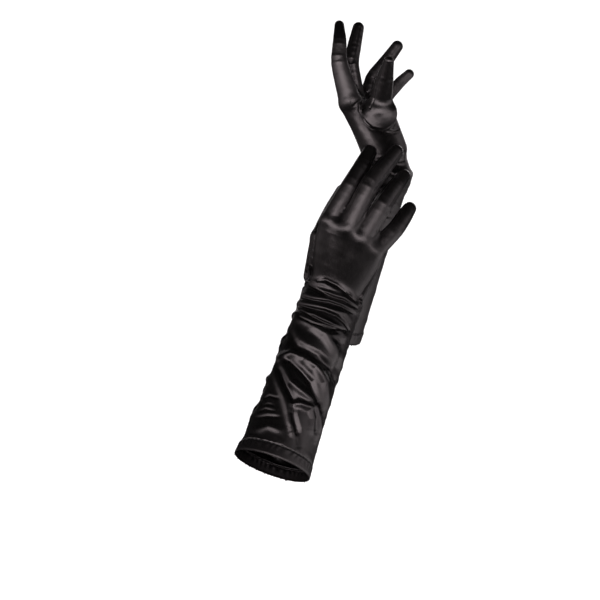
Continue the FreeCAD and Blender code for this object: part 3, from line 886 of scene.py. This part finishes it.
def digit_planes(g, f):
    """Starts and ends of the spans round a digit's two bends, where its base and tip pieces are parted."""
    j, r = g.digits[f]
    if f == "thumb":
        d1 = unit(j[2] - j[1])
        L = np.linalg.norm(j[2] - j[1])
        d2 = unit(j[3] - j[2])
        a = (j[1] - 5 * d1, j[1] + 10 * d1)
        b = (j[2] - 8 * d1, j[2] + 8 * unit(d1 + d2))
        return a, b
    d1 = unit(j[1] - j[0])
    L = np.linalg.norm(j[1] - j[0])
    a = (j[0] + 0.13 * L * d1, j[0] + 0.60 * L * d1)
    b0 = j[0] + 0.76 * L * d1
    b = (b0, b0 + 0.44 * L * d1)
    return a, b


def split(g, v, f, tubes):
    side = g.side
    bits = {}                 # name: list of (verts, normals, across, faces)
    kind = {}

    def put(name, what, vv, nn, tt, faces):
        used = np.unique(faces)
        back = np.full(len(vv), -1)
        back[used] = np.arange(len(used))
        bits.setdefault(name, []).append((vv[used], nn[used], tt[used], back[faces]))
        kind[name] = what

    def strips(d, part, vv, nn, tt, faces, fc):
        x, y, s = side_share(g, d, fc)
        face = np.abs(x) < STRIP
        for st, word in ((face, "faces"), (~face, "fourchettes" if d != "thumb" else "sides")):
            if st.any():
                put("%s_%s_%s_%s" % (side, d, part, word), (d, part), vv, nn, tt, faces[st])

    n = vertex_normals(v, f)
    t = lie_of(g, v, n)
    fc = v[f].mean(1)
    who, away = belong(g, fc)
    rest = np.ones(len(f), bool)
    for i, d in enumerate(DIGITS):
        (a0, a1), (b0, b1) = digit_planes(g, d)
        mine = rest & (who == i) & ((fc - a0) @ unit(a1 - a0) > 0) & (away < 6.0)
        if d != "thumb":
            mine &= g.hand_local(fc)[:, 2] > 0.6 * g.Lh
        mine &= g.ball(fc) > 1.0
        rest &= ~mine
        if mine.any():
            strips(d, "base", v, n, t, f[mine], fc[mine])
        tv, tf = tubes[d]
        tn = vertex_normals(tv, tf)
        tt = lie_of(g, tv, tn, d)
        tc = tv[tf].mean(1)
        tip = (tc - b0) @ unit(b1 - b0) > 0
        strips(d, "base", tv, tn, tt, tf[~tip], tc[~tip])
        strips(d, "tip", tv, tn, tt, tf[tip], tc[tip])
    ql = g.sleeve_local(fc)
    hl = g.hand_local(fc)
    j, r = g.digits["thumb"]
    mound = g.cone(fc, j[0] + 0.15 * (j[1] - j[0]), j[1], r[0], r[1])
    is_thumb = rest & (((mound < 1.2) & (hl[:, 1] < 2.0)) | (g.ball(fc) < 1.0))
    dorsal = np.where(hl[:, 2] > 0, hl[:, 1], ql[:, 1]) > 0
    band = rest & (ql[:, 2] < 12.6)
    other = rest & ~band & ~is_thumb
    upper = hl[:, 2] > 0
    parts = {"hem_band": band, "thumb_gusset": is_thumb,
             "sleeve_back": other & dorsal & ~upper, "sleeve_palm": other & ~dorsal & ~upper,
             "hand_back": other & dorsal & upper, "hand_palm": other & ~dorsal & upper}
    # inner skin of the sleeve and hand, joined to the outer one at the cuff
    inner = v - 0.9 * n
    e = np.concatenate([f[:, [0, 1]], f[:, [1, 2]], f[:, [2, 3]], f[:, [3, 0]]])
    _, idx, cnt = np.unique(np.sort(e, axis=1), axis=0, return_index=True, return_counts=True)
    rim = e[idx[cnt == 1]]
    rim = rim[(g.sleeve_local(v)[:, 2][rim] < 4).all(1)]
    nv = len(v)
    both_v, both_n, both_t = np.concatenate([v, inner]), np.concatenate([n, -n]), np.concatenate([t, t])
    for word, sel in parts.items():
        faces = [f[sel], f[sel][:, ::-1] + nv]
        if word == "hem_band":
            faces.append(np.stack([rim[:, 1], rim[:, 0], rim[:, 0] + nv, rim[:, 1] + nv], 1))
        put("%s_%s" % (side, word), (None, word), both_v, both_n, both_t, np.concatenate(faces))
    made = {}
    for name, rows in bits.items():
        k = 0
        vs, ns, ts, fs = [], [], [], []
        for vv, nn, tt, ff in rows:
            vs.append(vv)
            ns.append(nn)
            ts.append(tt)
            fs.append(ff + k)
            k += len(vv)
        mat = HEM if name.endswith("hem_band") else SATIN
        made[name] = add_object(name + "_cloth", np.concatenate(vs), np.concatenate(fs),
                                np.concatenate(ns), mat, np.concatenate(ts))
    return made, n


STARTED = {}
for side in ("right", "left"):
    g, v, f, tubes = build(side)
    made, n = split(g, v, f, tubes)
    for name, o in made.items():
        word = name[len(side) + 1:]
        digit = word.split("_")[0]
        if digit in DIGITS and "gusset" not in word:
            if "_base_" in word:
                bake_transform(o)
            else:
                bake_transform(o)
        elif word == "hem_band":
            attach(o, side + "_sleeve")
        elif word == "thumb_gusset":
            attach(o, side + "_hand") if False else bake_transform(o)
        else:
            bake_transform(o)
        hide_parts(name)

    # surface finder for the sewing
    tri = BVHTree.FromPolygons([tuple(p) for p in v], [tuple(q) for q in f])

    def land(p, lift=0.0):
        hit = tri.find_nearest(Vector(p))
        return np.array(hit[0]) + lift * np.array(hit[1])

    # zigzag hem stitches
    parts = []
    count = 96
    for row_z in (12.0,):
        ring = []
        for i in range(2 * count):
            t = 2 * math.pi * i / (2 * count)
            zz = row_z + (0.55 if i % 2 else -0.55)
            a = np.interp(zz / g.Ls, g.zs, g.sa)
            b = np.interp(zz / g.Ls, g.zs, g.sb)
            p = g.cuff + g.S @ np.array([a * math.cos(t), b * math.sin(t), zz])
            ring.append(land(p, 0.12))
        ring = np.array(ring)
        for i in range(len(ring)):
            a, b = ring[i], ring[(i + 1) % len(ring)]
            c = (a + b) / 2
            parts.append(tube([a + 0.12 * (b - a), c + 0.10 * unit(outward(g, c[None])[0]), b - 0.12 * (b - a)], 0.26, 5))
    vv, ff = merge(parts)
    o = add_object(side + "_hem_stitching_thread", vv, ff, None, THREAD)
    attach(o, side + "_sleeve")
    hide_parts(side + "_hem_stitching")

    # side seam of the sleeve, on the little finger's side, up to the little finger
    sgn = -1 if side == "right" else 1
    path, ups = [], []
    for zz in np.arange(13.5, g.Ls, 1.6):
        a = np.interp(zz / g.Ls, g.zs, g.sa)
        p = g.cuff + g.S @ np.array([sgn * a, 0, zz])
        path.append(p)
    j, r = g.digits["little"]
    end = (j[0] + 4 * unit(j[1] - j[0]))
    for t in np.linspace(0.0, 1, 44):
        zz = g.Lh * 0.9 * t
        a = np.interp(zz / g.Lh, g.zs, g.ha)
        p = g.wrist + g.H @ np.array([sgn * a, 0, zz])
        path.append(p)
    path = np.array([land(p, 0.05) for p in path])
    for _ in range(3):
        path[1:-1] = 0.25 * path[:-2] + 0.5 * path[1:-1] + 0.25 * path[2:]
    path = np.array([land(p, 0.10) for p in path])
    vv, ff = tube(path, 0.55, 6, ups=unit_rows(outward(g, path)))
    o = add_object(side + "_side_seam_thread", vv, ff, None, THREAD)
    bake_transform(o)
    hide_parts(side + "_side_seam")

# ------------------------------------------------------------------ the stage
def stage_material():
    m = bpy.data.materials.new("pale_backdrop")
    m.use_nodes = True
    b = m.node_tree.nodes["Principled BSDF"]
    b.inputs["Base Color"].default_value = (0.93, 0.93, 0.93, 1)
    b.inputs["Roughness"].default_value = 0.9
    return m


profile = [(-9.0, -0.42), (1.4, -0.42)]
for k in range(1, 13):
    t = math.pi / 2 * k / 12
    profile.append((1.4 + 0.9 * math.sin(t), -0.42 + 0.9 * (1 - math.cos(t))))
profile.append((2.3, 4.0))
vv, ff = [], []
for i, (y, z) in enumerate(profile):
    vv += [(-7.0, y, z), (7.0, y, z)]
    if i:
        ff.append((2 * i - 2, 2 * i - 1, 2 * i + 1, 2 * i))
me = bpy.data.meshes.new("backdrop")
me.from_pydata(vv, [], ff)
me.polygons.foreach_set("use_smooth", [True] * len(ff))
me.materials.append(stage_material())
floor = bpy.data.objects.new("backdrop", me)
floor.visible_glossy = False       # the dark satin mirrors only the lamps, as with black flags round it
bpy.context.scene.collection.objects.link(floor)

world = bpy.data.worlds.new("studio")
bpy.context.scene.world = world
world.use_nodes = True
nt = world.node_tree
bg = nt.nodes["Background"]                        # what the satin mirrors between the lamps
bg.inputs["Color"].default_value = (1, 1, 1, 1)
bg.inputs["Strength"].default_value = 0.012
room = nt.nodes.new("ShaderNodeBackground")        # the pale room itself
room.inputs["Color"].default_value = (1, 1, 1, 1)
room.inputs["Strength"].default_value = 1.12
seen = nt.nodes.new("ShaderNodeLightPath")
pick = nt.nodes.new("ShaderNodeMixShader")
nt.links.new(seen.outputs["Is Glossy Ray"], pick.inputs[0])
nt.links.new(room.outputs[0], pick.inputs[1])
nt.links.new(bg.outputs[0], pick.inputs[2])
nt.links.new(pick.outputs[0], nt.nodes["World Output"].inputs["Surface"])
world.cycles.sampling_method = "NONE"


def softbox(name, loc, target, size, glow, colour=(1, 1, 1), spread=math.pi):
    """Area light; glow is its surface brightness, white being 1."""
    d = bpy.data.lights.new(name, "AREA")
    d.shape = "RECTANGLE"
    d.size, d.size_y = size
    d.energy = glow * math.pi * size[0] * size[1]
    d.color = colour
    d.spread = spread
    o = bpy.data.objects.new(name, d)
    o.location = loc
    o.rotation_euler = (Vector(target) - Vector(loc)).to_track_quat("-Z", "Y").to_euler()
    o.visible_camera = False
    bpy.context.scene.collection.objects.link(o)
    return o


HEART = (0.06, 0.05, 0.25)
softbox("key", (-0.25, -2.1, 0.63), (0.06, 0.05, 0.30), (3.4, 0.90), 3.1, (1.0, 0.93, 0.95))
softbox("left_strip", (-1.9, -0.45, 0.47), HEART, (1.9, 0.90), 0.5, (1.0, 0.93, 0.95))
softbox("right_strip", (2.0, -0.55, 0.47), HEART, (1.7, 0.80), 0.9, (1.0, 0.94, 0.96))
softbox("low_right", (1.05, 0.05, -0.36), (0.09, 0.13, 0.20), (0.9, 0.7), 1.3, (1.0, 0.96, 0.97))
softbox("back_strip", (0.3, 1.9, 0.75), HEART, (2.4, 1.0), 2.0, (1.0, 0.94, 0.96))

bpy.context.scene.view_settings.view_transform = "Standard"

cam = bpy.data.cameras.new("camera")
cam.sensor_width = 36
cam.lens = 36 * FOCAL / 600
cam.clip_end = 50
o = bpy.data.objects.new("camera", cam)
o.location = tuple(CAM * MM)
o.rotation_euler = (math.pi / 2, 0, 0)
bpy.context.scene.collection.objects.link(o)
bpy.context.scene.camera = o
